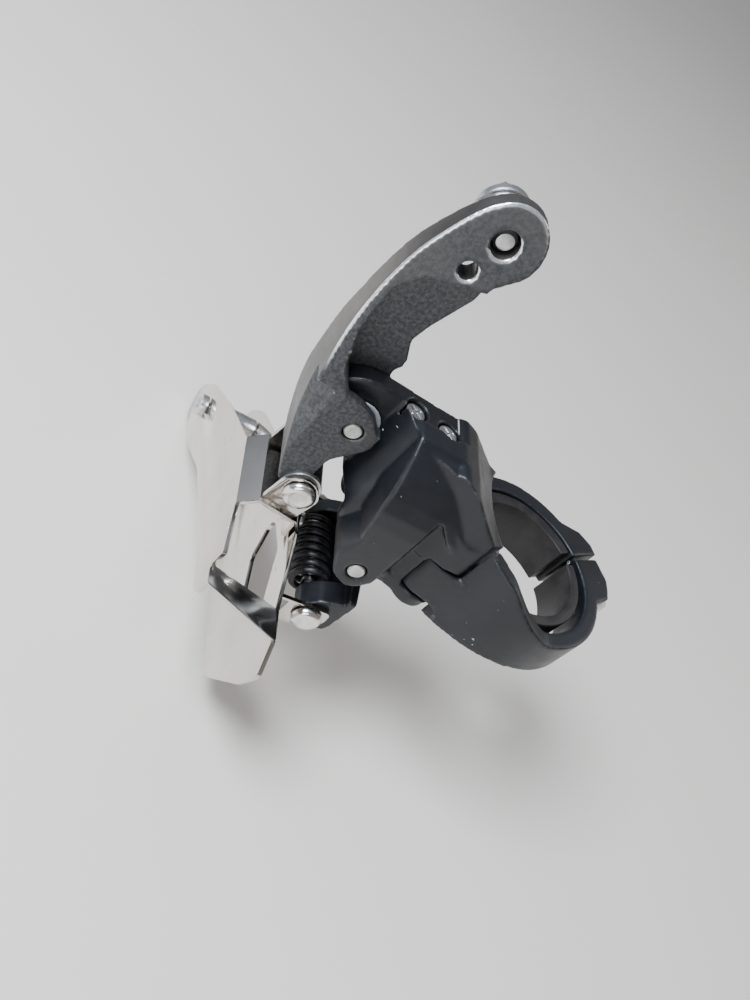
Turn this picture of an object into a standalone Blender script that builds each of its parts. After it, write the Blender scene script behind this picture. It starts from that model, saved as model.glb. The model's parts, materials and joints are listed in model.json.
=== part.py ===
"""Bottom-clamp front derailleur, in millimetres scaled to metres.

The origin is the centre of the clamp bore at the clamp's mid height, +Z runs up the seat tube,
-Y faces forward along the bicycle and -X is outboard, towards the chainwheels.
"""

import math

import bmesh
import bpy
from mathutils import Matrix, Vector

MM = 0.001
GAP = 0.3  # clearance between touching pieces

# Clamp
BORE_R = 17.45
BAND_R = 21.2
CLAMP_HALF = 6.0
SHIM_BORE_R = 14.3
SPLIT_ANGLE = 27.0
HINGE = (-20.2, -8.2)
HINGE_R = 4.6
KNUCKLE_LOW = -4.9  # the band's knuckle lies between the body's two
KNUCKLE_HIGH = 4.8
KNUCKLE_BASE = -8.8
HINGE_ANGLE = 202.0
SEAM_ANGLE = 216.0  # where the band meets the body's foot above its knuckle
LUG_OUT = 26.0
BOLT_RADIAL = 23.0
BOLT_R = 1.8
LOOSE_R = 2.7  # lets the bolt swing out with the clamp band

# Parallelogram, as (x, z); every pivot axis runs along Y
PIVOT_A = (-49.5, 14.4)
PIVOT_B = (-34.4, -5.6)
LINK = (-0.2, -18.1)
PIVOT_C = (PIVOT_A[0] + LINK[0], PIVOT_A[1] + LINK[1])
PIVOT_D = (PIVOT_B[0] + LINK[0], PIVOT_B[1] + LINK[1])
PIN_R = 1.8

# Body
BODY_TOP = 24.4
BODY_REAR = 8.2
BARREL_FRONT = 4.0
BARREL_R = 9.8
LOBE_FRONT = -13.0
SCREWS = ((-41.2, 3.8), (-33.6, 2.6))
SCREW_HEAD_R = 2.2

# Outer link
EAR = 2.8
LINK_DEPTH = 14.0
ARM_LEAN = 0.21
ANCHOR = (-49.2, 58.0)
ANCHOR_FRONT = 8.0
TAB_HOLE = (-51.7, 51.2)

# Chain cage
INNER_X = -45.0
OUTER_X = -58.5
SHEET = 0.9
TAIL_SCREW = (50.0, -41.0)

parts = None
cutters = None


def clear_scene():
    for obj in list(bpy.data.objects):
        bpy.data.objects.remove(obj, do_unlink=True)


def new_collection(name):
    collection = bpy.data.collections.new(name)
    bpy.context.scene.collection.children.link(collection)
    return collection


def material(name, colour, roughness, metallic):
    found = bpy.data.materials.get(name)
    if found:
        return found
    made = bpy.data.materials.new(name)
    made.use_nodes = True
    shader = made.node_tree.nodes["Principled BSDF"]
    shader.inputs["Base Color"].default_value = (*colour, 1)
    shader.inputs["Roughness"].default_value = roughness
    shader.inputs["Metallic"].default_value = metallic
    return made


def black_coat():
    return material("satin_black", (0.03, 0.035, 0.045), 0.45, 0.3)


def cast_grey():
    return material("cast_aluminium", (0.16, 0.16, 0.17), 0.5, 0.9)


def chrome():
    return material("chromed_steel", (0.75, 0.76, 0.78), 0.12, 1.0)


def zinc():
    return material("zinc_steel", (0.6, 0.61, 0.63), 0.3, 1.0)


def dark_plastic():
    return material("dark_plastic", (0.03, 0.028, 0.028), 0.55, 0.0)


def nylon():
    return material("white_nylon", (0.5, 0.52, 0.54), 0.4, 0.0)


def fillet(corners, steps=4):
    """The outline through (u, v, radius) corners, each rounded by an arc of its radius."""
    points = []
    count = len(corners)
    for i, (u, v, radius) in enumerate(corners):
        here = Vector((u, v))
        if radius <= 0:
            points.append(here)
            continue
        before = (Vector(corners[i - 1][:2]) - here).normalized()
        after = (Vector(corners[(i + 1) % count][:2]) - here).normalized()
        half = before.angle(after) / 2
        room = radius / math.tan(half)
        centre = here + (before + after).normalized() * radius / math.sin(half)
        start = here + before * room - centre
        sweep = start.angle_signed(here + after * room - centre)
        for k in range(steps + 1):
            turn = Matrix.Rotation(-sweep * k / steps, 2)
            points.append(centre + turn @ start)
    return points


def arc(centre, radius, start, end, steps):
    """Points of an arc in degrees."""
    angles = [math.radians(start + (end - start) * k / steps) for k in range(steps + 1)]
    return [Vector((centre[0] + radius * math.cos(a), centre[1] + radius * math.sin(a))) for a in angles]


FRAMES = {
    "X": Matrix(((0, 0, 1), (1, 0, 0), (0, 1, 0))),
    "Y": Matrix(((1, 0, 0), (0, 0, -1), (0, 1, 0))),
    "Z": Matrix.Identity(3),
}


def keep(obj, collection):
    collection.objects.link(obj)
    if collection is cutters:
        obj.hide_render = True
        obj.display_type = "WIRE"
    return obj


def finish_mesh(name, mesh, paint):
    bm = bmesh.new()
    bm.from_mesh(mesh)
    bmesh.ops.remove_doubles(bm, verts=bm.verts, dist=0.00001)
    bmesh.ops.recalc_face_normals(bm, faces=bm.faces)
    bm.to_mesh(mesh)
    bm.free()
    mesh.shade_smooth()
    mesh.set_sharp_from_angle(angle=math.radians(35))
    obj = bpy.data.objects.new(name, mesh)
    if paint:
        mesh.materials.clear()
        mesh.materials.append(paint)
    return keep(obj, parts if paint else cutters)


def prism(name, axis, points, low, high, paint=None):
    """A flat outline extruded along an axis: X takes (y, z) points, Y (x, z) and Z (x, y)."""
    curve = bpy.data.curves.new(name + "_outline", "CURVE")
    curve.dimensions = "2D"
    curve.fill_mode = "BOTH"
    curve.extrude = (high - low) / 2 * MM
    spline = curve.splines.new("POLY")
    spline.points.add(len(points) - 1)
    for slot, point in zip(spline.points, points):
        slot.co = (point[0] * MM, point[1] * MM, 0, 1)
    spline.use_cyclic_u = True
    outline = bpy.data.objects.new(name + "_outline", curve)
    bpy.context.scene.collection.objects.link(outline)
    graph = bpy.context.evaluated_depsgraph_get()
    mesh = bpy.data.meshes.new_from_object(outline.evaluated_get(graph))
    mesh.name = name
    middle = Vector((0, 0, 0))
    middle["XYZ".index(axis)] = (high + low) / 2 * MM
    mesh.transform(Matrix.Translation(middle) @ FRAMES[axis].to_4x4())
    bpy.data.objects.remove(outline, do_unlink=True)
    return finish_mesh(name, mesh, paint)


def rod(name, axis, centre, radius, low, high, paint=None, top_radius=None, sides=24):
    """A cylinder or cone along an axis, from low to high."""
    bm = bmesh.new()
    bmesh.ops.create_cone(
        bm,
        cap_ends=True,
        segments=sides,
        radius1=radius * MM,
        radius2=(radius if top_radius is None else top_radius) * MM,
        depth=(high - low) * MM,
    )
    mesh = bpy.data.meshes.new(name)
    bm.to_mesh(mesh)
    bm.free()
    turn = {"X": Matrix.Rotation(math.pi / 2, 4, "Y"), "Y": Matrix.Rotation(-math.pi / 2, 4, "X")}
    place = [centre[0], centre[1]]
    place.insert("XYZ".index(axis), (low + high) / 2)
    mesh.transform(Matrix.Translation(Vector(place) * MM) @ turn.get(axis, Matrix.Identity(4)))
    return finish_mesh(name, mesh, paint)


def sheet(name, axis, line, low, high, thickness, paint=None):
    """Bent sheet metal: a polyline profile extruded along an axis and thickened by Solidify."""
    bm = bmesh.new()
    rows = []
    for along in (low, high):
        row = []
        for u, v in line:
            spot = FRAMES[axis] @ Vector((u, v, 0))
            spot["XYZ".index(axis)] = along
            row.append(bm.verts.new(spot * MM))
        rows.append(row)
    for a, b, c, d in zip(rows[0], rows[0][1:], rows[1][1:], rows[1]):
        bm.faces.new((a, b, c, d))
    mesh = bpy.data.meshes.new(name)
    bm.to_mesh(mesh)
    bm.free()
    obj = bpy.data.objects.new(name, mesh)
    if paint:
        mesh.materials.append(paint)
    keep(obj, parts if paint else cutters)
    thick = obj.modifiers.new("Thickness", "SOLIDIFY")
    thick.thickness = thickness * MM
    thick.offset = 0
    thick.use_even_offset = True
    return obj


def boolean(obj, other, operation):
    step = obj.modifiers.new(operation.title(), "BOOLEAN")
    step.operation = operation
    step.solver = "EXACT"
    step.object = other


def add(obj, *others):
    for other in others:
        boolean(obj, other, "UNION")
    return obj


def cut(obj, *others):
    for other in others:
        boolean(obj, other, "DIFFERENCE")
    return obj


def meet(obj, other):
    boolean(obj, other, "INTERSECT")
    return obj


def radial(distance, across, angle=SPLIT_ANGLE):
    """A plan point at a distance from the bore's axis along an angle, and across it."""
    a = math.radians(angle)
    return Vector(
        (distance * math.cos(a) - across * math.sin(a), distance * math.sin(a) + across * math.cos(a))
    )


def ring_sector(inner, outer, start, end, steps, centre=(0, 0)):
    return arc(centre, outer, start, end, steps) + arc(centre, inner, end, start, steps)


def turned_plan(obj, angle):
    obj.data.transform(Matrix.Rotation(math.radians(angle), 4, "Z"))
    return obj


def tangential_rod(name, radius, low, high, paint=None, sides=24):
    """A rod along the clamp bolt's line, square to the split between the clamp's halves."""
    return turned_plan(rod(name, "Y", (BOLT_RADIAL, 0), radius, low, high, paint, sides=sides), SPLIT_ANGLE)


def body_core():
    """Upper block: its side view and its plan crossed."""
    side = arc(PIVOT_A, BARREL_R, 90, 270, 14)
    side += fillet(
        [
            (-45.0, 3.0, 2),
            (-41.6, 0.0, 0),
            (-41.0, -3.5, 1),
            (-38.1, -7.5, 2),
            (-33.5, -11.6, 3),
            (-29.2, -8.0, 2),
            (-24.0, -6.0, 2),
            (-13.0, -6.0, 0),
            (-13.0, 14.6, 0),
            (-17.5, 16.4, 2),
            (-26.0, 22.6, 4),
            (-30.5, BODY_TOP, 2),
        ]
    )
    core = prism("bracket_body", "Y", side, -20.0, 18.0, black_coat())
    plan = fillet(
        [
            (-60.5, BODY_REAR, 0),
            (-60.5, BARREL_FRONT, 0),
            (-44.2, BARREL_FRONT, 0.6),
            (-40.6, -4.0, 3),
            (-30.0, -8.2, 4),
            (-22.4, -12.2, 4),
            (-16.6, -13.4, 0),
            (-6.0, 0.0, 0),
            (-13.4, 17.2, 0),
            (-20.0, 15.6, 2),
            (-30.0, 12.0, 6),
            (-36.2, BODY_REAR, 2),
        ]
    )
    meet(core, prism("body_plan", "Z", plan, -20, 40))
    chamfer = [Vector(p) for p in (
        (BODY_REAR - 1.0, 40.0), (BODY_REAR, 24.0), (9.0, 17.0), (12.0, 9.0), (30.0, 5.5),
        (30.0, 40.0),
    )]
    return cut(core, prism("rear_slope", "X", chamfer, -70, -5))


def front_slope(name):
    """What lies behind the convex front that falls from the deck to the crease."""
    profile = [
        (5.0, 25.0), (-3.8, BODY_TOP), (-6.6, 21.8), (-9.2, 18.6), (-11.4, 15.0), (-12.6, 11.5),
        (LOBE_FRONT, 8.0),
    ]
    profile += [(LOBE_FRONT, -15.0), (5.0, -15.0)]
    return prism(name, "X", [Vector(p) for p in profile], -50, -10)


def body_brow():
    """The part of the front above the crease, which overhangs the hinge."""
    crease = [
        (-38.7, 3.3), (-38.2, 6.2), (-37.5, 9.0), (-35.9, 12.3), (-33.9, 14.2), (-31.6, 15.2),
        (-29.4, 14.8),
    ]
    crease += [(-27.4, 13.2), (-25.6, 11.4), (-23.6, 10.0), (-21.0, 9.3), (-18.0, 9.2), (-12.0, 10.0)]
    top = [
        (-12.0, 14.4), (-17.5, 16.4), (-26.0, 22.6), (-30.5, BODY_TOP), (-40.9, BODY_TOP),
        (-40.9, 12.0), (-39.6, 3.3),
    ]
    brow = prism("brow", "Y", [Vector(p) for p in crease + top], LOBE_FRONT, 1.0)
    return meet(brow, front_slope("brow_slope"))


def body_lobe():
    """Front lobe that holds the lower pin; its flank draws back towards the hinge."""
    side = fillet(
        [
            (-39.3, 2.0, 3),
            (-40.7, -3.0, 3),
            (-38.1, -8.6, 3),
            (-33.0, -11.6, 3),
            (-28.6, -5.4, 2),
            (-20.5, -5.0, 1),
            (-18.5, 6.0, 2),
            (-22.0, 14.0, 3),
            (-31.0, 17.0, 3),
            (-36.0, 14.0, 2),
            (-38.2, 7.0, 3),
        ]
    )
    lobe = prism("lobe", "Y", side, LOBE_FRONT, 3.0)
    meet(lobe, front_slope("lobe_slope"))
    flank = fillet(
        [
            (-44.0, -15.0, 0), (-31.0, -15.0, 1), (-29.4, -12.0, 3), (-25.0, -6.4, 3),
            (-17.0, -6.4, 0), (-17.0, 4.0, 0), (-44.0, 4.0, 0),
        ]
    )
    return meet(lobe, prism("lobe_flank", "Z", flank, -20, 30))


def foot():
    """Solid below the sloping facet that ends in the upper hinge knuckle and meets the band."""
    outline = fillet(
        [
            (-33.0, -4.0, 0), (-29.0, -9.2, 3), (-25.0, -11.8, 3), (-21.6, -13.0, 2),
            (-16.6, -13.1, 0), (-12.0, -12.0, 0), (-14.0, -4.0, 0),
        ]
    )
    block = prism("foot", "Z", outline, KNUCKLE_HIGH - 1.0, 16.0)
    slope = [
        (-33.0, 21.0), (-27.0, 15.4), (-22.0, 13.0), (-17.0, 13.8), (-10.0, 15.0), (-10.0, 40.0),
        (-33.0, 40.0),
    ]
    return cut(block, prism("foot_slope", "Y", [Vector(p) for p in slope], -30, 10))


def fixed_clamp_half():
    sector = ring_sector(BORE_R, BAND_R, SPLIT_ANGLE + 1.3, HINGE_ANGLE - 6, 40)
    ring = prism("fixed_ring", "Z", sector, -CLAMP_HALF, CLAMP_HALF)
    corners = [(18.0, 0.5), (LUG_OUT, 0.5), (LUG_OUT, 3.4), (24.2, 6.6), (17.6, 10.4), (15.0, 10.0)]
    lug = prism("fixed_lug", "Z", [radial(*c) for c in corners], -CLAMP_HALF, CLAMP_HALF)
    return ring, lug


def hinge_knuckle(name, radius, low, high):
    return rod(name, "Z", HINGE, radius, low, high, sides=28)


def bracket_body():
    body = add(body_core(), body_lobe(), body_brow(), foot())
    side = fillet([
        (-39.0, -5.0, 4), (-34.4, -11.0, 4), (-29.0, -6.0, 2), (-14.0, -6.0, 0), (-14.0, 4.0, 0),
        (-38.0, 4.0, 3),
    ])
    add(body, prism("rear_lobe", "Y", side, 12.4, 15.6))
    bay = fillet([(-45.0, -0.4, 0), (-26.0, -0.4, 3), (-26.0, -16.0, 0), (-45.0, -16.0, 0)])
    cut(body, prism("link_bay", "Y", bay, -1.2, 12.1))
    cut(body, rod("bore", "Z", (0, 0), BORE_R, -30, 40, sides=80))
    add(body, *fixed_clamp_half())
    swing = ring_sector(BORE_R - 3, 34.0, SEAM_ANGLE, 388 - 1.3, 40)
    cut(body, prism("band_space", "Z", swing, -12.0, 30.0))
    web = [
        (-32.0, -10.6), (-27.0, -10.4), (-22.6, -12.0), (-19.0, -8.0), (-19.0, -4.5),
        (-26.0, -2.5), (-31.0, -3.0),
    ]
    add(
        body,
        hinge_knuckle("lower_knuckle", HINGE_R, KNUCKLE_BASE, KNUCKLE_LOW + 0.3),
        prism("lower_web", "Z", [Vector(p) for p in web], KNUCKLE_BASE + 0.8, KNUCKLE_LOW + 0.5),
        hinge_knuckle("upper_knuckle", HINGE_R, KNUCKLE_HIGH - 0.6, 12.0),
    )
    neck = ring_sector(BORE_R - 3, 34.0, HINGE_ANGLE + 3, SEAM_ANGLE + 1, 12)
    cut(body, prism("neck_space", "Z", neck, KNUCKLE_LOW - GAP - 0.15, KNUCKLE_HIGH + GAP + 0.15))
    cut(body, hinge_knuckle("knuckle_space", HINGE_R + 0.4, KNUCKLE_LOW - GAP, KNUCKLE_HIGH + GAP))
    cut(body, rod("bore_again", "Z", (0, 0), BORE_R, -30, 40, sides=80))
    cut(body, hinge_knuckle("hinge_hole", 1.7, -12.0, 9.5))
    for i, pivot in enumerate((PIVOT_A, PIVOT_B)):
        cut(body, rod(f"pivot_hole_{i}", "Y", pivot, PIN_R + GAP, -30, 30))
    for i, spot in enumerate(SCREWS):
        cut(body, rod(f"screw_bore_{i}", "Z", spot, 1.7, BODY_TOP - 12, BODY_TOP + 2, sides=20))
        cut(body, rod(f"screw_pocket_{i}", "Z", spot, SCREW_HEAD_R + GAP, BODY_TOP - 3.7, BODY_TOP + 2))
    cut(body, tangential_rod("fixed_lug_hole", LOOSE_R, -2, 14))
    cut(body, tangential_rod("nut_seat", 4.0, 5.2, 14, sides=6))
    return body


def clamp_band():
    """Hinged half: a ring sector whose upper rim climbs towards the hinge."""
    sector = ring_sector(BORE_R, BAND_R, SEAM_ANGLE + 1.0, 360 + SPLIT_ANGLE - 1.3, 44)
    band = prism("clamp_band", "Z", sector, -9.2, 16.0, black_coat())
    rim = fillet([
        (9.0, CLAMP_HALF, 0), (4.0, CLAMP_HALF, 6), (-3.0, 9.2, 12), (-10.0, 13.6, 6),
        (-16.0, 14.4, 0),
    ])
    above = rim + [Vector((-16.0, 30.0)), Vector((30.0, 30.0)), Vector((30.0, CLAMP_HALF))]
    cut(band, prism("above_rim", "Y", above, -30, 30))
    below = [
        (-18.5, -9.0), (-15.0, -7.6), (-12.0, -6.4), (-8.0, -5.5), (-3.0, -4.7), (3.0, -4.2),
        (30.0, -4.2), (30.0, -20.0), (-18.5, -20.0),
    ]
    cut(band, prism("below_rim", "Y", [Vector(p) for p in below], -30, 30))
    corners = [(18.0, -0.5), (LUG_OUT - 0.8, -0.5), (LUG_OUT - 0.8, -6.4), (22.5, -10.8), (18.0, -11.5)]
    add(band, prism("band_lug", "Z", [radial(*c) for c in corners], -4.8, CLAMP_HALF))
    neck = [
        (-21.0, -12.7), (-17.9, -13.6), (-15.2, -14.8), (-12.4, -12.4), (-13.9, -10.2),
        (-17.2, -8.2), (-19.5, -8.2),
    ]
    add(
        band,
        hinge_knuckle("band_knuckle", HINGE_R, KNUCKLE_LOW, KNUCKLE_HIGH),
        prism("band_neck", "Z", [Vector(p) for p in neck], KNUCKLE_LOW, KNUCKLE_HIGH),
    )
    cut(band, rod("band_bore", "Z", (0, 0), BORE_R, -20, 20, sides=80))
    cut(band, hinge_knuckle("band_hinge_hole", 1.7, -10.0, 10.0))
    cut(band, tangential_rod("band_bolt_hole", BOLT_R + GAP, -14, 2))
    return cut(band, tangential_rod("head_seat", 4.1, -14, -6.5))


def shims():
    fixed = ring_sector(SHIM_BORE_R, BORE_R - GAP, SPLIT_ANGLE + 5, HINGE_ANGLE - 8, 32)
    prism("fixed_shim", "Z", fixed, -CLAMP_HALF + 0.4, CLAMP_HALF - 0.5, dark_plastic())
    eased = (-0.42, 0.8)
    hinged = ring_sector(SHIM_BORE_R, BORE_R - 0.9, HINGE_ANGLE + 16, 360 + SPLIT_ANGLE - 9, 32, eased)
    prism("hinged_shim", "Z", hinged, -CLAMP_HALF + 0.4, CLAMP_HALF - 0.5, dark_plastic())


def clamp_fasteners():
    rod("clamp_hinge_pin", "Z", HINGE, 1.4, KNUCKLE_BASE + 0.2, 9.0, zinc())
    bolt = tangential_rod("clamp_bolt", BOLT_R, -8.6, 9.0, zinc())
    add(bolt, tangential_rod("bolt_head", 3.7, -10.6, -6.9))
    cut(bolt, tangential_rod("bolt_socket", 1.9, -12.0, -8.4, sides=6))
    nut = tangential_rod("clamp_nut", 3.6, 5.5, 8.3, zinc(), sides=6)
    cut(nut, tangential_rod("nut_bore", LOOSE_R, 4.0, 10.0))


def limit_screws():
    for name, spot in zip(("limit_screw_high", "limit_screw_low"), SCREWS):
        screw = rod(name, "Z", spot, 1.4, BODY_TOP - 11, BODY_TOP - 2.6, zinc(), sides=20)
        add(screw, rod(name + "_head", "Z", spot, SCREW_HEAD_R - 0.1, BODY_TOP - 3.3, BODY_TOP - 1.6))
        for i, turn in enumerate((35, 125)):
            slot = prism(
                f"{name}_slot_{i}", "Z",
                fillet([(-1.5, -0.3, 0), (1.5, -0.3, 0), (1.5, 0.3, 0), (-1.5, 0.3, 0)]),
                BODY_TOP - 2.5, BODY_TOP,
            )
            slot.data.transform(Matrix.Rotation(math.radians(turn), 4, "Z"))
            slot.data.transform(Matrix.Translation(Vector((spot[0], spot[1], 0)) * MM))
            cut(screw, slot)


def smooth_line(points, steps=4):
    """A Catmull-Rom curve through the points, from the second to the last but one."""
    line = []
    for a, b, c, d in zip(points, points[1:], points[2:], points[3:]):
        p, q, u, v = (Vector(x) for x in (a, b, c, d))
        for k in range(steps):
            t = k / steps
            line.append(q + 0.5 * t * (u - p + t * (2 * p - 5 * q + 4 * u - v + t * (3 * (q - u) + v - p))))
    return line + [Vector(points[-2])]


def arm_outline():
    """The arm from the side: a long curved back, a round end and a stepped front."""
    back = [
        (-54.0, -10.0), (-54.6, -4.4), (-56.8, 1.4), (-59.9, 11.0), (-61.9, 22.4), (-62.9, 35.0),
        (-61.6, 47.5),
    ]
    back += [(-58.6, 56.0), (-55.4, 61.8), (-51.0, 67.0)]
    end = arc((-49.0, 58.0), 7.25, 140, -26, 12)
    front = fillet(
        [
            (-43.4, 56.0, 0),
            (-46.2, 50.2, 3),
            (-46.0, 46.4, 3),
            (-48.8, 37.2, 5),
            (-49.6, 32.6, 3),
            (-47.4, 28.4, 1),
            (-47.4, 26.6, 1),
            (-49.0, 25.0, 3),
            (-44.4, 19.0, 4),
            (-44.4, 12.0, 4),
            (-49.2, 5.6, 4),
            (-49.2, -3.0, 0),
        ]
    )
    return smooth_line(back) + end + front[1:]


def outer_link():
    link = prism("outer_link", "Y", arm_outline(), 0.0, LINK_DEPTH, cast_grey())
    front = [(-30.0, 20.0), (0.0, 20.0), (ARM_LEAN * 50, 70.0), (-30.0, 70.0)]
    cut(link, prism("front_lean", "X", [Vector(p) for p in front], -70, -35))
    back = fillet([
        (LINK_DEPTH, 14.0, 4), (10.6, 36.0, 8), (11.0, 44.0, 6), (13.0, 70.0, 0), (30.0, 70.0, 0),
        (30.0, 14.0, 0),
    ])
    cut(link, prism("back_thin", "X", back, -70, -35))
    add(link, rod("anchor_boss", "Y", ANCHOR, 6.2, ANCHOR_FRONT + 1.5, LINK_DEPTH, sides=28))
    pocket = fillet(
        [
            (-54.9, 21.0, 1),
            (-58.6, 25.4, 4),
            (-60.9, 33.5, 10),
            (-60.4, 42.6, 4),
            (-57.0, 46.2, 3),
            (-50.0, 48.4, 2),
            (-40.0, 51.6, 0),
            (-40.0, 21.0, 0),
        ]
    )
    cut(link, prism("web_pocket", "Y", pocket, -5.0, 8.5))
    ear_top = [
        (-54.9, 30.0), (-54.9, 21.2), (-51.0, 20.4), (-47.6, 18.8), (-45.4, 16.4), (-40.0, 15.0),
        (-40.0, 30.0),
    ]
    cut(link, prism("ear_top", "Y", [Vector(p) for p in ear_top], -1.0, EAR + GAP))
    cut(link, rod("barrel_space", "Y", PIVOT_A, BARREL_R + 0.4, EAR, 8.5, sides=48))
    right = fillet([(-55.4, 4.6, 0), (-40.0, 3.0, 0), (-40.0, 30.0, 0), (-52.0, 30.0, 0)])
    cut(link, prism("ear_slot", "Y", right, EAR, 8.5))
    cheek = [Vector(p) for p in ((-64.0, -1.0), (-57.3, -1.0), (-57.3, 0.0), (-64.0, 7.0))]
    cut(link, prism("cheek", "Z", cheek, -12.0, 21.0))
    hollow = fillet([
        (-54.0, 2.0, 0), (-57.4, 12.0, 3), (-58.8, 24.0, 3), (-56.0, 30.0, 3), (-40.0, 30.0, 0),
        (-40.0, 2.0, 0),
    ])
    cut(link, prism("rear_hollow", "Y", hollow, 11.3, 30.0))
    add(link, rod("cage_boss", "Y", PIVOT_C, 4.2, 0.3, LINK_DEPTH, sides=28))
    add(link, rod("rear_boss", "Y", PIVOT_A, 4.6, 10.0, LINK_DEPTH - 1.4, sides=28))
    for i, pivot in enumerate((PIVOT_A, PIVOT_C)):
        cut(link, rod(f"link_hole_{i}", "Y", pivot, PIN_R + GAP, -30, 30))
    cut(link, rod("anchor_hole", "Y", ANCHOR, 2.6, -10, 30))
    return cut(link, rod("tab_hole", "Y", TAB_HOLE, 1.7, -10, 30, sides=20))


def cable_anchor():
    back = LINK_DEPTH + GAP
    bolt = rod("cable_anchor_bolt", "Y", ANCHOR, 2.1, ANCHOR_FRONT + 0.9, 20.0, zinc())
    head = rod("anchor_head", "Y", ANCHOR, 4.0, 18.2, 22.0, sides=6)
    add(bolt, head, rod("anchor_flange", "Y", ANCHOR, 5.0, 17.6, 19.4))
    washer = rod("cable_anchor_washer", "Y", ANCHOR, 4.6, 16.6, 17.3, zinc())
    cut(washer, rod("washer_bore", "Y", ANCHOR, 2.1 + GAP, 10, 20))
    corners = [(-54.0, 47.6, 1.5), (-43.4, 55.0, 4), (-44.6, 64.0, 4), (-55.6, 60.0, 4)]
    plate = prism("cable_clamp_plate", "Y", fillet(corners), back, 16.3, zinc())
    cut(plate, rod("plate_bore", "Y", ANCHOR, 2.1 + GAP, 10, 20))
    groove = rod("cable_groove", "Z", (-45.4, back), 0.9, 40, 70, sides=12)
    cut(plate, groove)
    add(plate, rod("plate_tab", "Y", TAB_HOLE, 1.3, 13.2, 15.6, sides=16))


def link_pins():
    for name, pivot, low, high in (
        ("outer_link_pin", PIVOT_A, 0.1, LINK_DEPTH - 1.2),
        ("inner_link_pin", PIVOT_B, LOBE_FRONT - 0.1, 15.9),
    ):
        rod(name, "Y", pivot, PIN_R, low, high, zinc())
    ring("outer_link_bush", PIVOT_A, PIN_R + GAP, 5.1, EAR + GAP, BARREL_FRONT - GAP, nylon())
    ring("inner_link_bush", PIVOT_B, 2.1, 3.0, 2.8, 9.2, nylon())


def ring(name, pivot, inner, outer, low, high, paint):
    body = rod(name, "Y", pivot, outer, low, high, paint)
    return cut(body, rod(name + "_bore", "Y", pivot, inner, low - 2, high + 2))


def inner_link():
    link = ring("inner_link", PIVOT_B, 2.1, 4.3, -0.9, 2.5, black_coat())
    rear = rod("link_rear_eye", "Y", PIVOT_B, 4.3, 9.5, 11.8)
    side = fillet([
        (-31.0, -2.6, 0), (-28.4, -7.0, 2), (-27.0, -16.0, 4), (-28.0, -27.0, 2),
        (-30.6, -27.6, 0), (-29.0, -22.0, 2), (-29.0, -16.0, 3), (-31.0, -9.0, 0),
    ])
    web = prism("link_web", "Y", side, -12.0, 17.0)
    profile = [
        (-0.9, -2.0), (11.8, -2.0), (11.8, -12.6), (17.0, -16.0), (17.0, -28.0), (-12.0, -28.0),
        (-12.0, -16.0), (-0.9, -12.6),
    ]
    meet(web, prism("web_profile", "X", [Vector(p) for p in profile], -40, -20))
    add(link, rear, web)
    foot = fillet([
        (-38.2, -23.7, 3.4), (-34.6, -28.4, 3), (-28.2, -27.4, 1), (-28.2, -17.0, 1),
        (-34.0, -19.2, 3),
    ])
    add(link, prism("front_foot", "Y", foot, -12.0, -6.2), prism("rear_foot", "Y", foot, 13.4, 17.0))
    for i, pivot in enumerate((PIVOT_B, PIVOT_D)):
        cut(link, rod(f"inner_hole_{i}", "Y", pivot, PIN_R + GAP, -30, 30))
    return link


def return_spring():
    """A torsion coil round the cage's inner pivot."""
    turns, per_turn, coil_r, wire_r = 8, 14, 3.9, 0.8
    low, high = -4.9, 12.2
    curve = bpy.data.curves.new("return_spring", "CURVE")
    curve.dimensions = "3D"
    curve.bevel_depth = wire_r * MM
    curve.bevel_resolution = 1
    curve.use_fill_caps = True
    spline = curve.splines.new("POLY")
    count = turns * per_turn
    spline.points.add(count)
    for k in range(count + 1):
        angle = 2 * math.pi * k / per_turn
        spot = (
            PIVOT_D[0] + coil_r * math.cos(angle), low + (high - low) * k / count,
            PIVOT_D[1] + coil_r * math.sin(angle),
        )
        spline.points[k].co = (*(Vector(spot) * MM), 1)
    spring = bpy.data.objects.new("return_spring", curve)
    curve.materials.append(black_coat())
    return keep(spring, parts)


def cage_outer_plate():
    """Outer plate, the sloping shoulder over the chain and the two tabs of the upper pivot."""
    outline = fillet(
        [
            (-14.4, -14.4, 0.6),
            (-14.4, -18.8, 0),
            (-18.9, -18.8, 0.5),
            (-17.6, -25.7, 3),
            (3.0, -29.4, 6),
            (27.0, -38.4, 8),
            (45.0, -50.0, 5),
            (60.0, -55.0, 5),
            (65.0, -48.0, 5),
            (56.0, -38.0, 5),
            (38.0, -26.0, 8),
            (24.0, -18.0, 6),
            (14.6, -12.6, 0),
            (-3.2, -12.6, 0),
        ]
    )
    plate = prism("cage_outer_plate", "X", outline, OUTER_X - SHEET / 2, OUTER_X + SHEET / 2, chrome())
    roof = [(OUTER_X, -14.6), (OUTER_X, -12.4), (-55.4, -9.2), (-46.6, -10.6), (-46.3, -15.4)]
    add(plate, sheet("cage_roof", "Y", roof, -3.2, 15.4, SHEET))
    for i, (low, high) in enumerate(((-2.0, -1.1), (14.5, 15.4))):
        tab = fillet([
            (-55.2, -9.4, 0), (-54.2, -2.0, 4), (-49.7, 2.0, 4), (-45.2, -3.4, 3.4),
            (-46.8, -10.4, 0),
        ])
        add(plate, prism(f"cage_tab_{i}", "Y", tab, low, high))
    cut(plate, rod("cage_hole", "Y", PIVOT_C, PIN_R + GAP, -30, 30))
    for i, y in enumerate((1.5, 11.0)):
        cut(plate, rod(f"lip_hole_{i}", "X", (y, -13.6), 0.9 + GAP, -50, -40, sides=16))
    return cut(plate, rod("tail_hole_outer", "X", TAIL_SCREW, 1.5 + GAP, -70, -50))


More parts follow.
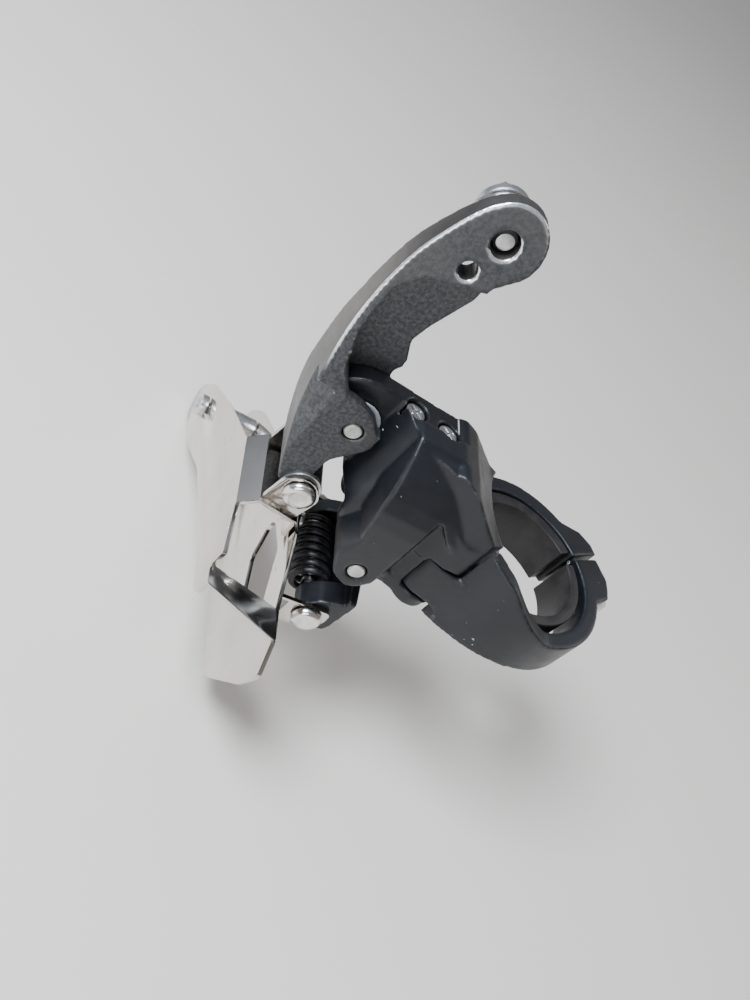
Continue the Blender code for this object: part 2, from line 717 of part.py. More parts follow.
def cage_inner_plate():
    """Inner plate, the two tabs of the lower pivot and the bridge at the nose."""
    outline = fillet(
        [
            (-4.0, -12.0, 2),
            (-21.0, -16.6, 2),
            (-28.0, -16.6, 1),
            (-33.6, -21.0, 2),
            (-30.5, -30.0, 4),
            (-25.0, -39.0, 4),
            (-20.0, -47.0, 4),
            (4.0, -51.0, 8),
            (36.0, -54.6, 8),
            (57.0, -54.6, 5),
            (62.0, -46.0, 5),
            (54.0, -37.0, 6),
            (36.0, -27.0, 10),
            (20.0, -18.0, 4),
            (15.0, -12.0, 2),
        ]
    )
    plate = prism("cage_inner_plate", "X", outline, INNER_X - SHEET / 2, INNER_X + SHEET / 2, chrome())
    tab = fillet([
        (-45.4, -21.2, 0), (-45.4, -29.0, 0), (-38.0, -28.6, 2), (-33.4, -27.9, 3.6),
        (-30.4, -24.0, 3), (-30.6, -20.4, 1),
    ])
    for i, (low, high) in enumerate(((LOBE_FRONT - 0.2, LOBE_FRONT + 0.7), (17.3, 18.2))):
        add(plate, prism(f"lower_tab_{i}", "Y", tab, low, high))
    bridge = fillet([(-44.6, -28.0, 0.5), (-59.8, -20.2, 1), (-59.8, -15.4, 1), (-44.6, -20.6, 0)])
    deck = prism("nose_bridge", "Z", bridge, -17.3, -16.4)
    slant = Matrix.Identity(4)
    slant[2][0] = 0.07
    slant[2][3] = 0.07 * 45 * MM
    deck.data.transform(slant)
    add(plate, deck)
    opening = fillet([
        (-17.5, -23.0, 2), (-10.0, -33.0, 3), (2.0, -31.0, 3), (8.0, -22.0, 3), (-4.0, -18.6, 2),
    ])
    cut(plate, prism("inner_window", "X", opening, -50, -40))
    cut(plate, rod("cage_lower_hole", "Y", PIVOT_D, PIN_R + GAP, -30, 30))
    for i, y in enumerate((1.5, 11.0)):
        cut(plate, rod(f"plate_hole_{i}", "X", (y, -13.6), 0.9 + GAP, -50, -40, sides=16))
    return cut(plate, rod("tail_hole_inner", "X", TAIL_SCREW, 1.5 + GAP, -50, -40))


def headed_pin(name, axis, centre, radius, low, high, head_radius, head_low, head_high, paint):
    pin = rod(name, axis, centre, radius, low, high, paint)
    return add(pin, rod(name + "_head", axis, centre, head_radius, head_low, head_high))


def cage_fasteners():
    headed_pin("cage_outer_rivet", "Y", PIVOT_C, PIN_R, -3.0, 16.4, 3.4, -3.7, -2.3, chrome())
    ring("cage_outer_washer", PIVOT_C, PIN_R + GAP, 4.3, -0.8, 0.0, zinc())
    rivet = headed_pin("cage_inner_rivet", "Y", PIVOT_D, PIN_R, -14.0, 19.4, 3.3, -15.0, -13.5, chrome())
    add(rivet, rod("inner_rivet_tail", "Y", PIVOT_D, 2.6, 18.5, 19.6))
    for name, y in (("cage_bridge_rivet_front", 1.5), ("cage_bridge_rivet_rear", 11.0)):
        low, high = -47.6, -43.4
        pin = rod(name, "X", (y, -13.6), 0.9, low, high, chrome(), sides=16)
        add(pin, rod(name + "_a", "X", (y, -13.6), 1.6, low - 0.3, low + 0.5, sides=16))
        add(pin, rod(name + "_b", "X", (y, -13.6), 1.6, high - 0.8, high, sides=16))
    spacer = rod(
        "cage_tail_spacer", "X", TAIL_SCREW, 2.8, OUTER_X + SHEET / 2 + GAP,
        INNER_X - SHEET / 2 - GAP, zinc(),
    )
    cut(spacer, rod("spacer_bore", "X", TAIL_SCREW, 1.5 + GAP, -62, -40))
    screw = rod("cage_tail_screw", "X", TAIL_SCREW, 1.5, -61.0, -43.2, zinc())
    add(screw, rod("tail_head", "X", TAIL_SCREW, 2.8, -61.0, OUTER_X - SHEET / 2 - GAP))
    cut(screw, rod("tail_socket", "X", TAIL_SCREW, 1.2, -63, -60.0, sides=6))


def group(name, place, names, parent=None):
    """An empty on a joint's axis that carries the pieces of one moving body."""
    pivot = bpy.data.objects.new(name, None)
    pivot.empty_display_size = 0.005
    bpy.context.scene.collection.objects.link(pivot)
    pivot.location = Vector(place) * MM
    if parent:
        pivot.parent = parent
        pivot.location = Vector(place) * MM - parent.matrix_world.translation
    bpy.context.view_layer.update()
    for piece in names:
        obj = bpy.data.objects[piece]
        obj.parent = pivot
        obj.matrix_parent_inverse = pivot.matrix_world.inverted()
    return pivot


def group_moving_pieces():
    outer = group("outer_link_joint", (PIVOT_A[0], 0, PIVOT_A[1]), ("outer_link", "cable_clamp_plate"))
    group("anchor_joint", (ANCHOR[0], 18, ANCHOR[1]), ("cable_anchor_bolt", "cable_anchor_washer"), outer)
    group("inner_link_joint", (PIVOT_B[0], 0, PIVOT_B[1]), ("inner_link", "return_spring"))
    cage = [o.name for o in parts.objects if o.name.startswith("cage_")]
    group("cage_joint", (PIVOT_C[0], 0, PIVOT_C[1]), cage, outer)
    band = group("clamp_band_joint", (*HINGE, 0), ("clamp_band", "hinged_shim"))
    group("clamp_bolt_joint", (*radial(BOLT_RADIAL, 0), 0), ("clamp_bolt",), band)
    for name, spot in zip(("limit_screw_high", "limit_screw_low"), SCREWS):
        group(name + "_joint", (*spot, BODY_TOP), (name,))


def main():
    global parts, cutters
    clear_scene()
    parts = new_collection("front_derailleur")
    cutters = new_collection("cutters")
    bracket_body()
    clamp_band()
    shims()
    clamp_fasteners()
    limit_screws()
    outer_link()
    cable_anchor()
    link_pins()
    inner_link()
    return_spring()
    cage_outer_plate()
    cage_inner_plate()
    cage_fasteners()
    group_moving_pieces()


main()
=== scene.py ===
"""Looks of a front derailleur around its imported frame, in millimetres times MM, in the row frame."""

import json
import math

import bmesh
import bpy
from mathutils import Matrix, Vector

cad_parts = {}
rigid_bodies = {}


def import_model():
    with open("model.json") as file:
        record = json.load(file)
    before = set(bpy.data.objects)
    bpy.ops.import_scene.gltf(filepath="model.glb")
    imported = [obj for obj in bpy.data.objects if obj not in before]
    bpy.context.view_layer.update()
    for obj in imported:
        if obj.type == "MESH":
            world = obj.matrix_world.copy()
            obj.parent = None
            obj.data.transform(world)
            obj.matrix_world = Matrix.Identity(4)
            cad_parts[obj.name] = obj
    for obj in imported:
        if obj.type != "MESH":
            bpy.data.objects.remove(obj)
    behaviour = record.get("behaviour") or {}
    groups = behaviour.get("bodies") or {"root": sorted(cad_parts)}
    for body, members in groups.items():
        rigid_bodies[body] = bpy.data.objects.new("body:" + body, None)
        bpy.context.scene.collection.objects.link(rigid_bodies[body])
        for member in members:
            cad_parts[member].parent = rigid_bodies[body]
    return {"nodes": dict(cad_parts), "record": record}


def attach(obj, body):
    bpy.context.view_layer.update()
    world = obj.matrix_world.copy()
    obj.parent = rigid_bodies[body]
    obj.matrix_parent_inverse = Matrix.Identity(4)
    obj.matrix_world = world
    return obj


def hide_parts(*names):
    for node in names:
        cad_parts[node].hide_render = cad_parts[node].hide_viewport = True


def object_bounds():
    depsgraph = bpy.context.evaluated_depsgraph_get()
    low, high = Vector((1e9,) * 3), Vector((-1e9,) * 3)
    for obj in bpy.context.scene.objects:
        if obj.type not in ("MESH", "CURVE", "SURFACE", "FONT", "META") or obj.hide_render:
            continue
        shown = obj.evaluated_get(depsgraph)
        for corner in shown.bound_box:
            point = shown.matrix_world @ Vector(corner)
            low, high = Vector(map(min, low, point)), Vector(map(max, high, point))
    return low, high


MM = 0.001
PIVOT_A = (-49.5, 14.4)
PIVOT_C = (-49.7, -3.7)
PIVOT_B = (-34.4, -5.6)
PIVOT_D = (-34.6, -23.7)
PIN_R = 1.8
ANCHOR = (-49.2, 58.0)
THREAD_R = 2.1
THREAD_PITCH = 0.8
THREAD_TURNS = 10

# The arm's polished outer front edge
RIM_WIDTH = 1.7
RIM_LOW = 6.0
RIM_FRONT = 6.0

# Voxel size and smoothing passes of the cast pieces, and the width of the bevel on the others
VOXEL_BODY, PASSES_BODY = 0.33, 12
VOXEL_ARM, PASSES_ARM = 0.26, 9
VOXEL_LINK, PASSES_LINK = 0.3, 6
FACES_MOST = 95000
ARM_FACES_MOST = 150000
BEVELS = {
    "fixed_shim": 0.3,
    "hinged_shim": 0.3,
    "cage_outer_plate": 0.16,
    "cage_inner_plate": 0.16,
    "clamp_bolt": 0.25,
    "clamp_nut": 0.25,
    "cable_clamp_plate": 0.25,
    "cage_tail_screw": 0.25,
    "cage_tail_spacer": 0.25,
    "clamp_hinge_pin": 0.25,
    "limit_screw_high": 0.14,
    "limit_screw_low": 0.14,
    "outer_link_bush": 0.18,
    "inner_link_bush": 0.18,
    "cable_anchor_washer": 0.18,
    "cage_outer_washer": 0.18,
    "cage_bridge_rivet_front": 0.3,
    "cage_bridge_rivet_rear": 0.3,
}

ROOM_UP = Vector((-0.568, 0.215, 0.795))  # the way the light comes from
FLOOR_DROP = 0.3
FLOOR_RADIUS_M = 4.0
LIGHT_TARGET = (-25, 5, 0)

for old in list(bpy.data.objects):
    bpy.data.objects.remove(old, do_unlink=True)

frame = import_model()
cad_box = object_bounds()
nodes = frame["nodes"]
body_of = {n: body for body, names in frame["record"]["behaviour"]["bodies"].items() for n in names}
slot_of = {s["node"]: s["material_slot"] for s in frame["record"]["subparts"]}
scene = bpy.context.scene


# Materials


class Tree:
    """Builds one material's nodes."""

    def __init__(self, name):
        self.material = bpy.data.materials.new(name)
        self.material.use_nodes = True
        self.tree = self.material.node_tree
        self.shader = self.tree.nodes["Principled BSDF"]
        self.place = self.tree.nodes.new("ShaderNodeTexCoord").outputs["Object"]

    def link(self, source, target):
        self.tree.links.new(source, target)

    def node(self, kind, **settings):
        made = self.tree.nodes.new(kind)
        for key, value in settings.items():
            setattr(made, key, value)
        return made

    def mapped(self, scale, turn=(0, 0, 0)):
        """Object coordinates stretched and turned."""
        mapping = self.node("ShaderNodeMapping")
        mapping.inputs["Scale"].default_value = scale
        mapping.inputs["Rotation"].default_value = turn
        self.link(self.place, mapping.inputs["Vector"])
        return mapping.outputs["Vector"]

    def noise(self, scale, detail=4.0, rough=0.55, vector=None):
        made = self.node("ShaderNodeTexNoise")
        made.inputs["Scale"].default_value = scale
        made.inputs["Detail"].default_value = detail
        made.inputs["Roughness"].default_value = rough
        self.link(vector or self.place, made.inputs["Vector"])
        return made.outputs["Fac"]

    def cells(self, scale):
        made = self.node("ShaderNodeTexVoronoi", feature="F1")
        made.inputs["Scale"].default_value = scale
        self.link(self.place, made.inputs["Vector"])
        return made.outputs["Distance"]

    def span(self, value, low, high, to_low=0.0, to_high=1.0):
        """A smooth step of value from low to high."""
        made = self.node("ShaderNodeMapRange", interpolation_type="SMOOTHSTEP")
        made.inputs["From Min"].default_value = low
        made.inputs["From Max"].default_value = high
        made.inputs["To Min"].default_value = to_low
        made.inputs["To Max"].default_value = to_high
        self.link(value, made.inputs["Value"])
        return made.outputs["Result"]

    def math(self, operation, a, b):
        made = self.node("ShaderNodeMath", operation=operation)
        for socket, value in zip(made.inputs, (a, b)):
            if isinstance(value, (int, float)):
                socket.default_value = value
            else:
                self.link(value, socket)
        return made.outputs["Value"]

    def blend(self, share, a, b):
        """Colour a where share is 0 and b where it is 1."""
        made = self.node("ShaderNodeMix", data_type="RGBA")
        self.link(share, made.inputs["Factor"])
        for socket, value in ((made.inputs["A"], a), (made.inputs["B"], b)):
            if isinstance(value, tuple):
                socket.default_value = (*value, 1)
            else:
                self.link(value, socket)
        return made.outputs["Result"]

    def bump(self, height, depth, strength=1.0):
        made = self.node("ShaderNodeBump")
        made.inputs["Distance"].default_value = depth * MM
        made.inputs["Strength"].default_value = strength
        self.link(height, made.inputs["Height"])
        self.link(made.outputs["Normal"], self.shader.inputs["Normal"])

    def set(self, **values):
        for key, value in values.items():
            socket = self.shader.inputs[key.replace("_", " ").title().replace("Ior", "IOR")]
            if isinstance(value, tuple):
                socket.default_value = (*value, 1)
            elif isinstance(value, (int, float)):
                socket.default_value = value
            else:
                self.link(value, socket)

    def scratches(self, scale, turn, cut):
        """Thin lines in one direction, broken up."""
        lines = self.noise(1.0, 2.0, 0.5, self.mapped((scale, scale * 0.06, scale), turn))
        broken = self.noise(120.0, 2.0, 0.5)
        thin = self.span(lines, cut, cut + 0.025)
        return self.math("MULTIPLY", thin, self.span(broken, 0.52, 0.6))

    def worn_edges(self, low, high):
        """Convex edges, from the fine mesh's own curvature."""
        edge = self.node("ShaderNodeNewGeometry").outputs["Pointiness"]
        return self.span(edge, low, high)


def black_coat():
    t = Tree("satin_black_coat")
    tint = t.noise(45.0, 5.0)
    colour = t.blend(t.span(tint, 0.35, 0.7), (0.0050, 0.0060, 0.0085), (0.0095, 0.0110, 0.0150))
    # Paler convex edges: partly worn paint, partly a painted edge highlight
    edges = t.math("MULTIPLY", t.worn_edges(0.515, 0.56), t.span(t.noise(260.0, 5.0), 0.44, 0.66))
    colour = t.blend(t.math("MULTIPLY", edges, 0.5), colour, (0.10, 0.11, 0.125))
    lengthwise = t.scratches(900.0, (0.3, 0.5, 0.9), 0.742)
    crosswise = t.scratches(1100.0, (1.1, 0.2, 2.2), 0.752)
    marks = t.math("MAXIMUM", lengthwise, crosswise)
    chips = t.span(t.noise(900.0, 2.0), 0.79, 0.81)
    marks = t.math("MAXIMUM", marks, chips)
    colour = t.blend(marks, colour, (0.42, 0.42, 0.43))
    t.set(base_color=colour, metallic=0.0, specular_ior_level=0.4)
    t.set(roughness=t.span(t.noise(300.0, 6.0), 0.2, 0.8, 0.33, 0.46))
    grain = t.noise(4200.0, 3.0, 0.6)
    t.bump(t.math("ADD", grain, t.math("MULTIPLY", t.noise(700.0, 2.0), 0.5)), 0.035, 0.8)
    t.set(coat_weight=0.08, coat_roughness=0.3)
    return t.material


def cast_aluminium():
    t = Tree("cast_aluminium_arm")
    normal = t.node("ShaderNodeSeparateXYZ")
    t.link(t.node("ShaderNodeTexCoord").outputs["Normal"], normal.inputs["Vector"])
    spot = t.node("ShaderNodeSeparateXYZ")
    t.link(t.place, spot.inputs["Vector"])
    # Bright rim: partly the polished chamfer, partly a painted highlight, picked by facing direction and
    # kept to the upper arm
    upper = t.span(spot.outputs["Z"], 22 * MM, 31 * MM)
    front = t.math("MULTIPLY", normal.outputs["Y"], -1.0)
    outboard = t.math("MULTIPLY", normal.outputs["X"], -0.8)
    side = t.math("ADD", outboard, t.math("MULTIPLY", normal.outputs["Z"], 0.6))
    rim_polish_and_highlight = t.math("MULTIPLY", t.span(front, 0.14, 0.3), t.span(front, 0.985, 0.93))
    rim_polish_and_highlight = t.math("MULTIPLY", rim_polish_and_highlight, t.span(side, 0.0, 0.16))
    rim_polish_and_highlight = t.math("MULTIPLY", rim_polish_and_highlight, t.math("MULTIPLY", upper, t.span(t.noise(140.0, 6.0), 0.26, 0.44)))
    edge = t.math("MULTIPLY", t.worn_edges(0.525, 0.575), t.span(t.noise(420.0, 4.0), 0.44, 0.62))
    polish_and_highlight = t.math("MAXIMUM", rim_polish_and_highlight, t.math("MULTIPLY", edge, 0.5))
    mottle = t.noise(1300.0, 8.0, 0.72)
    dark = t.blend(t.span(mottle, 0.38, 0.64), (0.058, 0.061, 0.068), (0.118, 0.121, 0.128))
    broad = t.noise(60.0, 4.0)
    dark = t.blend(t.math("MULTIPLY", t.span(broad, 0.42, 0.7), 0.3), dark, (0.15, 0.148, 0.146))
    outer = t.math("MULTIPLY", t.span(side, 0.4, 0.75), t.span(front, 0.3, 0.08))
    tan = t.blend(t.span(t.noise(70.0, 4.0), 0.35, 0.65), (0.105, 0.098, 0.094), (0.165, 0.154, 0.147))
    colour = t.blend(outer, dark, tan)
    # Bluish white on the rim and worn edges: polished metal with a painted highlight
    colour = t.blend(polish_and_highlight, colour, (0.86, 0.89, 0.93))
    t.set(base_color=colour, metallic=0.88)
    rough = t.span(mottle, 0.2, 0.8, 0.6, 0.5)
    rough = t.math("SUBTRACT", rough, t.math("MULTIPLY", outer, 0.14))
    rough = t.math("SUBTRACT", rough, t.math("MULTIPLY", polish_and_highlight, 0.3))
    t.set(roughness=rough)
    pits = t.math("ADD", t.noise(2400.0, 6.0, 0.7), t.math("MULTIPLY", t.cells(1500.0), 0.4))
    smooth = t.math("SUBTRACT", 1.0, t.math("MULTIPLY", t.math("MAXIMUM", outer, polish_and_highlight), 0.75))
    t.bump(t.math("MULTIPLY", pits, smooth), 0.045, 0.8)
    return t.material


def chrome():
    t = Tree("polished_chrome")
    haze = t.noise(60.0, 5.0)
    colour = t.blend(t.span(haze, 0.3, 0.7), (0.70, 0.665, 0.625), (0.60, 0.565, 0.53))
    stains = t.span(t.noise(220.0, 6.0, 0.7), 0.66, 0.74)
    colour = t.blend(t.math("MULTIPLY", stains, 0.4), colour, (0.36, 0.32, 0.28))
    t.set(base_color=colour, metallic=1.0)
    lengthwise = t.scratches(700.0, (0.4, 0.1, 0.3), 0.69)
    crosswise = t.scratches(1000.0, (1.3, 0.8, 0.2), 0.71)
    marks = t.math("MAXIMUM", lengthwise, crosswise)
    polish = t.span(t.noise(140.0, 5.0), 0.25, 0.75, 0.06, 0.17)
    rough = t.math("ADD", polish, t.math("MULTIPLY", marks, 0.35))
    t.set(roughness=rough)
    waves = t.math("ADD", t.noise(30.0, 1.0), t.math("MULTIPLY", t.noise(3000.0, 2.0), 0.012))
    t.bump(t.math("SUBTRACT", waves, t.math("MULTIPLY", marks, 0.03)), 0.16, 0.4)
    return t.material


def metal(name, clear, stained, low, high, spots=0.66):
    """Plated steel with a patchy finish, fine marks and a light bump."""
    t = Tree(name)
    patch = t.noise(350.0, 6.0, 0.6)
    colour = t.blend(t.span(patch, 0.35, 0.7), clear, stained)
    dirt = t.span(t.noise(900.0, 5.0, 0.7), spots, spots + 0.08)
    colour = t.blend(t.math("MULTIPLY", dirt, 0.6), colour, (0.12, 0.11, 0.1))
    marks = t.scratches(1500.0, (0.2, 0.9, 0.4), 0.66)
    t.set(base_color=colour, metallic=1.0)
    t.set(roughness=t.math("ADD", t.span(patch, 0.3, 0.75, low, high), t.math("MULTIPLY", marks, 0.2)))
    t.bump(t.math("ADD", t.noise(2500.0, 4.0), marks), 0.02, 0.7)
    return t.material


def plastic(name, dark, light, low, high):
    t = Tree(name)
    patch = t.noise(180.0, 6.0, 0.65)
    colour = t.blend(t.span(patch, 0.35, 0.7), dark, light)
    dust = t.span(t.noise(1800.0, 3.0), 0.72, 0.78)
    colour = t.blend(t.math("MULTIPLY", dust, 0.5), colour, (0.3, 0.29, 0.28))
    t.set(base_color=colour, metallic=0.0, specular_ior_level=0.4)
    t.set(roughness=t.span(patch, 0.3, 0.75, low, high))
    t.bump(t.math("ADD", t.noise(2200.0, 4.0), t.cells(1400.0)), 0.03, 0.7)
    return t.material


def spring_black():
    t = Tree("black_spring_wire")
    patch = t.noise(500.0, 5.0)
    colour = t.blend(t.span(patch, 0.4, 0.7), (0.008, 0.008, 0.01), (0.03, 0.03, 0.034))
    rubbed = t.math("MULTIPLY", t.worn_edges(0.53, 0.6), t.span(t.noise(1200.0, 4.0), 0.55, 0.65))
    colour = t.blend(t.math("MULTIPLY", rubbed, 0.5), colour, (0.2, 0.2, 0.21))
    t.set(base_color=colour, metallic=0.4, roughness=t.span(patch, 0.3, 0.7, 0.28, 0.42))
    t.bump(t.noise(2600.0, 4.0), 0.02, 0.6)
    return t.material


def floor_paper():
    t = Tree("pale_floor")
    patch = t.noise(3.0, 5.0)
    colour = t.blend(patch, (0.84, 0.785, 0.725), (0.87, 0.825, 0.77))
    t.set(base_color=colour, metallic=0.0)
    t.set(roughness=t.span(patch, 0.3, 0.7, 0.55, 0.65))
    t.bump(t.noise(900.0, 4.0), 0.03, 0.4)
    return t.material


paints = {
    "satin_black": black_coat(),
    "cast_aluminium": cast_aluminium(),
    "chromed_steel": chrome(),
    "nickel_rivet": metal("bright_nickel", (0.86, 0.85, 0.83), (0.68, 0.66, 0.63), 0.12, 0.3),
    "zinc_steel": metal("zinc_plate", (0.7, 0.7, 0.71), (0.46, 0.46, 0.46), 0.26, 0.46),
    "pin_end": metal("matt_pin_end", (0.66, 0.655, 0.64), (0.44, 0.44, 0.43), 0.42, 0.6),
    "dark_plastic": plastic("dark_shim_plastic", (0.013, 0.012, 0.013), (0.028, 0.025, 0.025), 0.45, 0.6),
    "white_nylon": plastic("grey_nylon", (0.30, 0.32, 0.35), (0.44, 0.46, 0.48), 0.3, 0.45),
    "black_spring": spring_black(),
}


# Shapes


def clean_copy(node):
    """A node's mesh with its shared points joined and its flat areas made whole, in a new object."""
    bm = bmesh.new()
    bm.from_mesh(nodes[node].data)
    bmesh.ops.remove_doubles(bm, verts=bm.verts, dist=0.003 * MM)
    bmesh.ops.dissolve_limit(bm, angle_limit=math.radians(0.6), verts=bm.verts, edges=bm.edges)
    mesh = bpy.data.meshes.new(node + "_fine")
    bm.to_mesh(mesh)
    bm.free()
    obj = bpy.data.objects.new(node + "_fine", mesh)
    scene.collection.objects.link(obj)
    return obj


def applied(obj):
    """obj with its modifiers made part of its mesh."""
    graph = bpy.context.evaluated_depsgraph_get()
    mesh = bpy.data.meshes.new_from_object(obj.evaluated_get(graph))
    obj.modifiers.clear()
    obj.data = mesh
    return obj


def settle(obj, node, paint=None):
    """obj takes the node's place: its body, its slot and its finish."""
    obj.data.materials.clear()
    obj.data.materials.append(paints[paint or slot_of[node]])
    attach(obj, body_of[node])
    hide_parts(node)
    return obj


def cast(node, voxel, passes, prepare=None, most=FACES_MOST):
    """A cast piece: its edges melted together on a fine grid."""
    obj = clean_copy(node)
    if prepare:
        prepare(obj)
    grid = obj.modifiers.new("Grid", "REMESH")
    grid.mode = "VOXEL"
    grid.voxel_size = voxel * MM
    soft = obj.modifiers.new("Soft", "SMOOTH")
    soft.factor = 0.5
    soft.iterations = passes
    applied(obj)
    triangles = 2 * len(obj.data.polygons)
    if triangles > most:
        thin = obj.modifiers.new("Thin", "DECIMATE")
        thin.ratio = most / triangles
        applied(obj)
    obj.data.shade_smooth()
    return settle(obj, node)


def crisp(node, width):
    """A machined or stamped piece: its edges rounded a little."""
    obj = clean_copy(node)
    edge = obj.modifiers.new("Edge", "BEVEL")
    edge.width = width * MM
    edge.segments = 3
    edge.limit_method = "ANGLE"
    edge.angle_limit = math.radians(28)
    edge.use_clamp_overlap = True
    edge.harden_normals = False
    applied(obj)
    obj.data.shade_smooth()
    obj.data.set_sharp_from_angle(angle=math.radians(40))
    return settle(obj, node)


def lathe(name, centre, profile, sides=48):
    """A turned piece along Y: (radius, y) points, from one end of it to the other."""
    bm = bmesh.new()
    rings = []
    for radius, along in profile:
        if radius <= 0:
            rings.append([bm.verts.new((0, 0, along * MM))])
            continue
        ring = []
        for k in range(sides):
            a = 2 * math.pi * k / sides
            ring.append(bm.verts.new((radius * MM * math.cos(a), radius * MM * math.sin(a), along * MM)))
        rings.append(ring)
    for low, high in zip(rings, rings[1:]):
        for k in range(sides):
            a, b = low[k % len(low)], low[(k + 1) % sides % len(low)]
            c, d = high[(k + 1) % sides % len(high)], high[k % len(high)]
            bm.faces.new(list(dict.fromkeys((a, b, c, d))))
    bmesh.ops.recalc_face_normals(bm, faces=bm.faces)
    mesh = bpy.data.meshes.new(name)
    bm.to_mesh(mesh)
    bm.free()
    mesh.transform(Matrix.Rotation(-math.pi / 2, 4, "X"))
    mesh.transform(Matrix.Translation(Vector((centre[0], 0, centre[1])) * MM))
    mesh.shade_smooth()
    mesh.set_sharp_from_angle(angle=math.radians(35))
    obj = bpy.data.objects.new(name, mesh)
    scene.collection.objects.link(obj)
    return obj


def spring():
    """The return spring as a fine coil."""
    turns, per_turn, coil_r, wire_r = 8, 36, 3.9, 0.78
    low, high = -4.9, 12.2
    curve = bpy.data.curves.new("return_spring_fine", "CURVE")
    curve.dimensions = "3D"
    curve.bevel_depth = wire_r * MM
    curve.bevel_resolution = 4
    curve.use_fill_caps = True
    line = curve.splines.new("POLY")
    count = turns * per_turn
    line.points.add(count)
    for k in range(count + 1):
        a = 2 * math.pi * k / per_turn
        x = PIVOT_D[0] + coil_r * math.cos(a)
        z = PIVOT_D[1] + coil_r * math.sin(a)
        line.points[k].co = (*(Vector((x, low + (high - low) * k / count, z)) * MM), 1)
    source = bpy.data.objects.new("coil", curve)
    scene.collection.objects.link(source)
    graph = bpy.context.evaluated_depsgraph_get()
    mesh = bpy.data.meshes.new_from_object(source.evaluated_get(graph))
    bpy.data.objects.remove(source, do_unlink=True)
    mesh.shade_smooth()
    mesh.set_sharp_from_angle(angle=math.radians(50))
    obj = bpy.data.objects.new("return_spring_fine", mesh)
    scene.collection.objects.link(obj)
    return settle(obj, "return_spring")


def arm_rim(obj):
    """A chamfer along the arm's outer front edge, which is polished."""
    bm = bmesh.new()
    bm.from_mesh(obj.data)
    picked = []
    for edge in bm.edges:
        if len(edge.link_faces) != 2:
            continue
        one, two = (f.normal for f in edge.link_faces)
        if one.y > two.y:
            one, two = two, one
        middle = (edge.verts[0].co + edge.verts[1].co) / 2 / MM
        outward = two.x * -0.8 + two.z * 0.6
        on_corner = one.y < -0.9 and abs(two.y) < 0.3 and outward > -0.2
        on_arm = middle.z > RIM_LOW and middle.y < RIM_FRONT
        if on_corner and on_arm and (middle.x < -52 or middle.z > 52):
            picked.append(edge)
    bmesh.ops.bevel(
        bm,
        geom=picked,
        offset=RIM_WIDTH * MM,
        segments=4,
        profile=0.55,
        affect="EDGES",
        clamp_overlap=True,
    )
    bm.to_mesh(obj.data)
    bm.free()


cast("bracket_body", VOXEL_BODY, PASSES_BODY)
cast("clamp_band", VOXEL_BODY, PASSES_BODY)
cast("outer_link", VOXEL_ARM, PASSES_ARM, arm_rim, ARM_FACES_MOST)
cast("inner_link", VOXEL_LINK, PASSES_LINK)
for name, bevel_width in BEVELS.items():
    crisp(name, bevel_width)

spring()


def rivet(node, centre, head_r, head_top, head_base, shank_end, tail=None):
    """A rivet with a low domed head in front, a flat on the dome and a plain or swaged tail."""
    flat = head_r * 0.55
    profile = [(0, head_top + 0.05), (flat * 0.9, head_top + 0.03), (flat, head_top)]
    for k in range(1, 7):
        a = math.pi / 2 * k / 6
        fall = (head_base - 0.35 - head_top) * (1 - math.cos(a))
        profile.append((flat + (head_r - flat) * math.sin(a), head_top + fall))
    profile += [(head_r, head_base - 0.1), (head_r - 0.1, head_base)]
    profile += [(PIN_R, head_base), (PIN_R, shank_end - 0.3)]
    if tail:
        swage_r, swage_base = tail
        profile += [(PIN_R, swage_base), (swage_r, swage_base + 0.1)]
        profile += [(swage_r, shank_end - 0.4), (swage_r - 0.4, shank_end)]
    else:
        profile += [(1.5, shank_end)]
    profile += [(0, shank_end)]
    return settle(lathe(node + "_fine", centre, profile), node)


rivet("cage_outer_rivet", PIVOT_C, 3.4, -3.75, -2.3, 16.4)
rivet("cage_inner_rivet", PIVOT_D, 3.3, -15.05, -13.5, 19.6, (2.6, 18.5))

link_pins = (("outer_link_pin", PIVOT_A, 0.1, 12.8), ("inner_link_pin", PIVOT_B, -13.1, 15.9))
for node, centre, low, high in link_pins:
    profile = [(0, low + 0.12), (0.9, low + 0.1), (1.35, low + 0.02), (1.6, low + 0.05)]
    profile += [(PIN_R, low + 0.3), (PIN_R, high - 0.3), (1.6, high), (0, high)]
    settle(lathe(node + "_fine", centre, profile), node, "pin_end")

thread = [(0, 9.0), (1.3, 8.95), (1.6, 9.05), (1.75, 9.3)]
for k in range(THREAD_TURNS):
    at = 9.4 + THREAD_PITCH * k
    thread += [(1.8, at), (THREAD_R, at + 0.35), (THREAD_R, at + 0.45), (1.8, at + THREAD_PITCH)]
thread += [(THREAD_R, 17.6), (4.8, 17.6), (5.0, 17.8), (5.0, 19.1), (4.7, 19.4)]
anchor_shank = lathe("cable_anchor_shank", ANCHOR, thread + [(0, 19.4)])
settle(anchor_shank, "cable_anchor_bolt")
head = [(0, 19.3), (3.95, 19.3), (4.0, 21.5), (3.6, 21.95), (2.1, 22.0), (2.1, 20.6), (0, 20.6)]
hexagon = lathe("cable_anchor_head", ANCHOR, head, 6)
settle(hexagon, "cable_anchor_bolt")


# Stage


def camera():
    data = bpy.data.cameras.new("camera")
    data.sensor_width = 36
    data.lens = 36
    data.clip_start = 0.001
    obj = bpy.data.objects.new("camera", data)
    scene.collection.objects.link(obj)
    right = Vector((0.817, 0.030, 0.576))
    back = Vector((-0.408, -0.676, 0.614)).normalized()
    right = (right - back * right.dot(back)).normalized()
    place = Matrix((right, back.cross(right), back)).transposed().to_4x4()
    place.translation = Vector((-116.8, -134.5, 124.0)) * MM
    obj.matrix_world = place
    scene.camera = obj


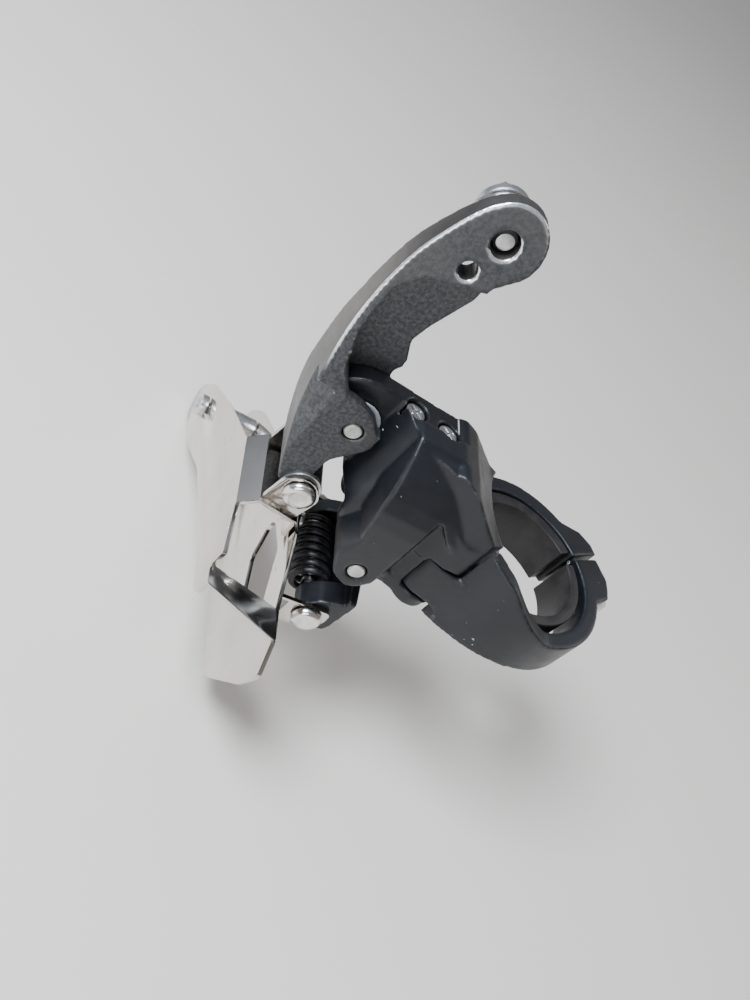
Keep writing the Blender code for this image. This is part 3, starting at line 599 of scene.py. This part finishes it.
def area(name, direction, distance, size, power, colour):
    data = bpy.data.lights.new(name, "AREA")
    data.shape = "DISK"
    data.size = size
    data.energy = power
    data.color = colour
    obj = bpy.data.objects.new(name, data)
    target = Vector(LIGHT_TARGET) * MM
    way = Vector(direction).normalized()
    obj.location = target + way * distance
    obj.rotation_euler = way.to_track_quat("Z", "Y").to_euler()
    scene.collection.objects.link(obj)


def world():
    made = bpy.data.worlds.new("room")
    made.use_nodes = True
    tree = made.node_tree
    tree.nodes.clear()
    way = tree.nodes.new("ShaderNodeTexCoord").outputs["Generated"]
    dot = tree.nodes.new("ShaderNodeVectorMath")
    dot.operation = "DOT_PRODUCT"
    dot.inputs[1].default_value = ROOM_UP
    ramp = tree.nodes.new("ShaderNodeValToRGB")
    stops = (
        (0.0, (0.6, 0.54, 0.47)),
        (0.4, (0.66, 0.59, 0.52)),
        (0.56, (0.56, 0.53, 0.5)),
        (0.7, (0.4, 0.4, 0.41)),
        (0.82, (0.72, 0.8, 0.92)),
        (1.0, (1.1, 1.16, 1.28)),
    )
    ramp.color_ramp.elements.remove(ramp.color_ramp.elements[0])
    ramp.color_ramp.elements[0].position = stops[0][0]
    ramp.color_ramp.elements[0].color = (*stops[0][1], 1)
    for place, colour in stops[1:]:
        ramp.color_ramp.elements.new(place).color = (*colour, 1)
    half = tree.nodes.new("ShaderNodeMapRange")
    half.inputs["From Min"].default_value = -1
    back = tree.nodes.new("ShaderNodeBackground")
    back.inputs["Strength"].default_value = 0.5
    out = tree.nodes.new("ShaderNodeOutputWorld")
    tree.links.new(way, dot.inputs[0])
    tree.links.new(dot.outputs["Value"], half.inputs["Value"])
    tree.links.new(half.outputs["Result"], ramp.inputs["Fac"])
    tree.links.new(ramp.outputs["Color"], back.inputs["Color"])
    tree.links.new(back.outputs["Background"], out.inputs["Surface"])
    scene.world = made


def floor():
    bm = bmesh.new()
    bmesh.ops.create_circle(bm, cap_ends=True, segments=96, radius=FLOOR_RADIUS_M)
    mesh = bpy.data.meshes.new("floor")
    bm.to_mesh(mesh)
    bm.free()
    mesh.materials.append(floor_paper())
    obj = bpy.data.objects.new("floor", mesh)
    obj.location = (0, 0, cad_box[0][2] - FLOOR_DROP * MM)
    scene.collection.objects.link(obj)


camera()
world()
floor()
area("key", (-0.6, -0.1, 0.8), 0.6, 0.3, 6.8, (0.86, 0.93, 1.0))
area("front", (-0.35, -1.0, 0.35), 0.8, 0.5, 2.2, (0.98, 0.97, 0.97))
area("fill", (0.9, 0.3, 0.5), 0.9, 0.5, 1.2, (0.95, 0.97, 1.0))
